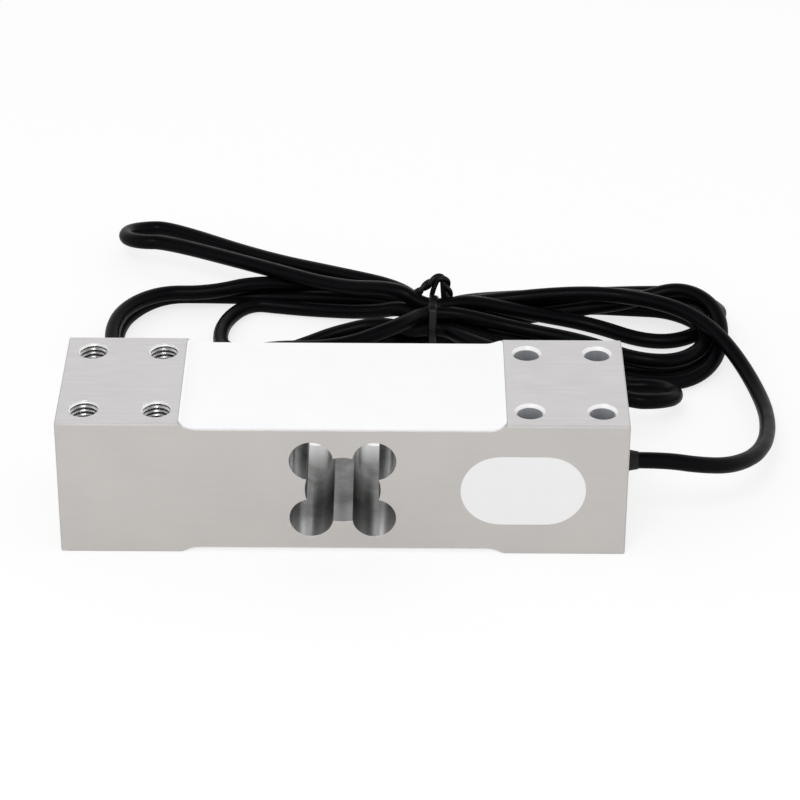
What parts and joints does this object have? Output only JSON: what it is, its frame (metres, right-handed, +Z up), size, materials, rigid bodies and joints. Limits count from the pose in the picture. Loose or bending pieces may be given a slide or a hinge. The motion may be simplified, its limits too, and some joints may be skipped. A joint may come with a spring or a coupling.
{
  "type": "single point load cell",
  "caption": "Rectangular aluminium bending beam with a lobed flexure cavity, sealed strain gauges and a tied signal cable, for weighing a platform held on it alone.",
  "frame": {"origin": "middle of the beam's underside, between the two end pads", "axes": "+X along the beam towards the fixed end, where the cable leaves; +Z up, the direction of the load face; the wiring pocket opens at -Y and the cable lies behind at +Y"},
  "size_m": [0.1957, 0.1743, 0.04],
  "materials": {
    "beam_aluminium": "machined, satin",
    "gauge_seal_white": "smooth white coat",
    "pocket_seal_white": "smooth white potting",
    "board_green": "glossy solder mask",
    "resistor_black": "matt",
    "bush_rubber": "matt",
    "cable_sheath": "satin",
    "tie_black": "satin",
    "core_red": "satin",
    "core_black": "satin",
    "core_green": "satin",
    "core_white": "satin",
    "tinned_copper": "bright tinned",
    "polyimide_amber": "clear amber film",
    "gauge_foil": "etched foil",
    "terminal_strip_tan": "laminate",
    "copper_ribbon": "bright copper",
    "enamelled_wire": "enamel"
  },
  "bodies": {
    "root": {"bottom_gauge_seal": "gauge_seal_white", "cable_bush": "bush_rubber", "cable_hank": "cable_sheath", "cable_lead": "cable_sheath", "cable_tie": "tie_black", "core_black": "core_black", "core_green": "core_green", "core_red": "core_red", "core_white": "core_white", "end_wire_black": "core_black", "end_wire_green": "core_green", "end_wire_red": "core_red", "end_wire_shield": "tinned_copper", "end_wire_white": "core_white", "gauge_backing_bottom_fixed": "polyimide_amber", "gauge_backing_bottom_load": "polyimide_amber", "gauge_backing_top_fixed": "polyimide_amber", "gauge_backing_top_load": "polyimide_amber", "gauge_grid_bottom_fixed": "gauge_foil", "gauge_grid_bottom_load": "gauge_foil", "gauge_grid_top_fixed": "gauge_foil", "gauge_grid_top_load": "gauge_foil", "gauge_links_bottom": "copper_ribbon", "gauge_links_top": "copper_ribbon", "gauge_wires_bottom": "enamelled_wire", "gauge_wires_top": "enamelled_wire", "load_beam": "beam_aluminium", "pocket_seal": "pocket_seal_white", "terminal_board": "board_green", "terminal_strip_bottom": "terminal_strip_tan", "terminal_strip_top": "terminal_strip_tan", "top_gauge_seal": "gauge_seal_white", "trim_resistors": "resistor_black"}
  },
  "joints": []
}
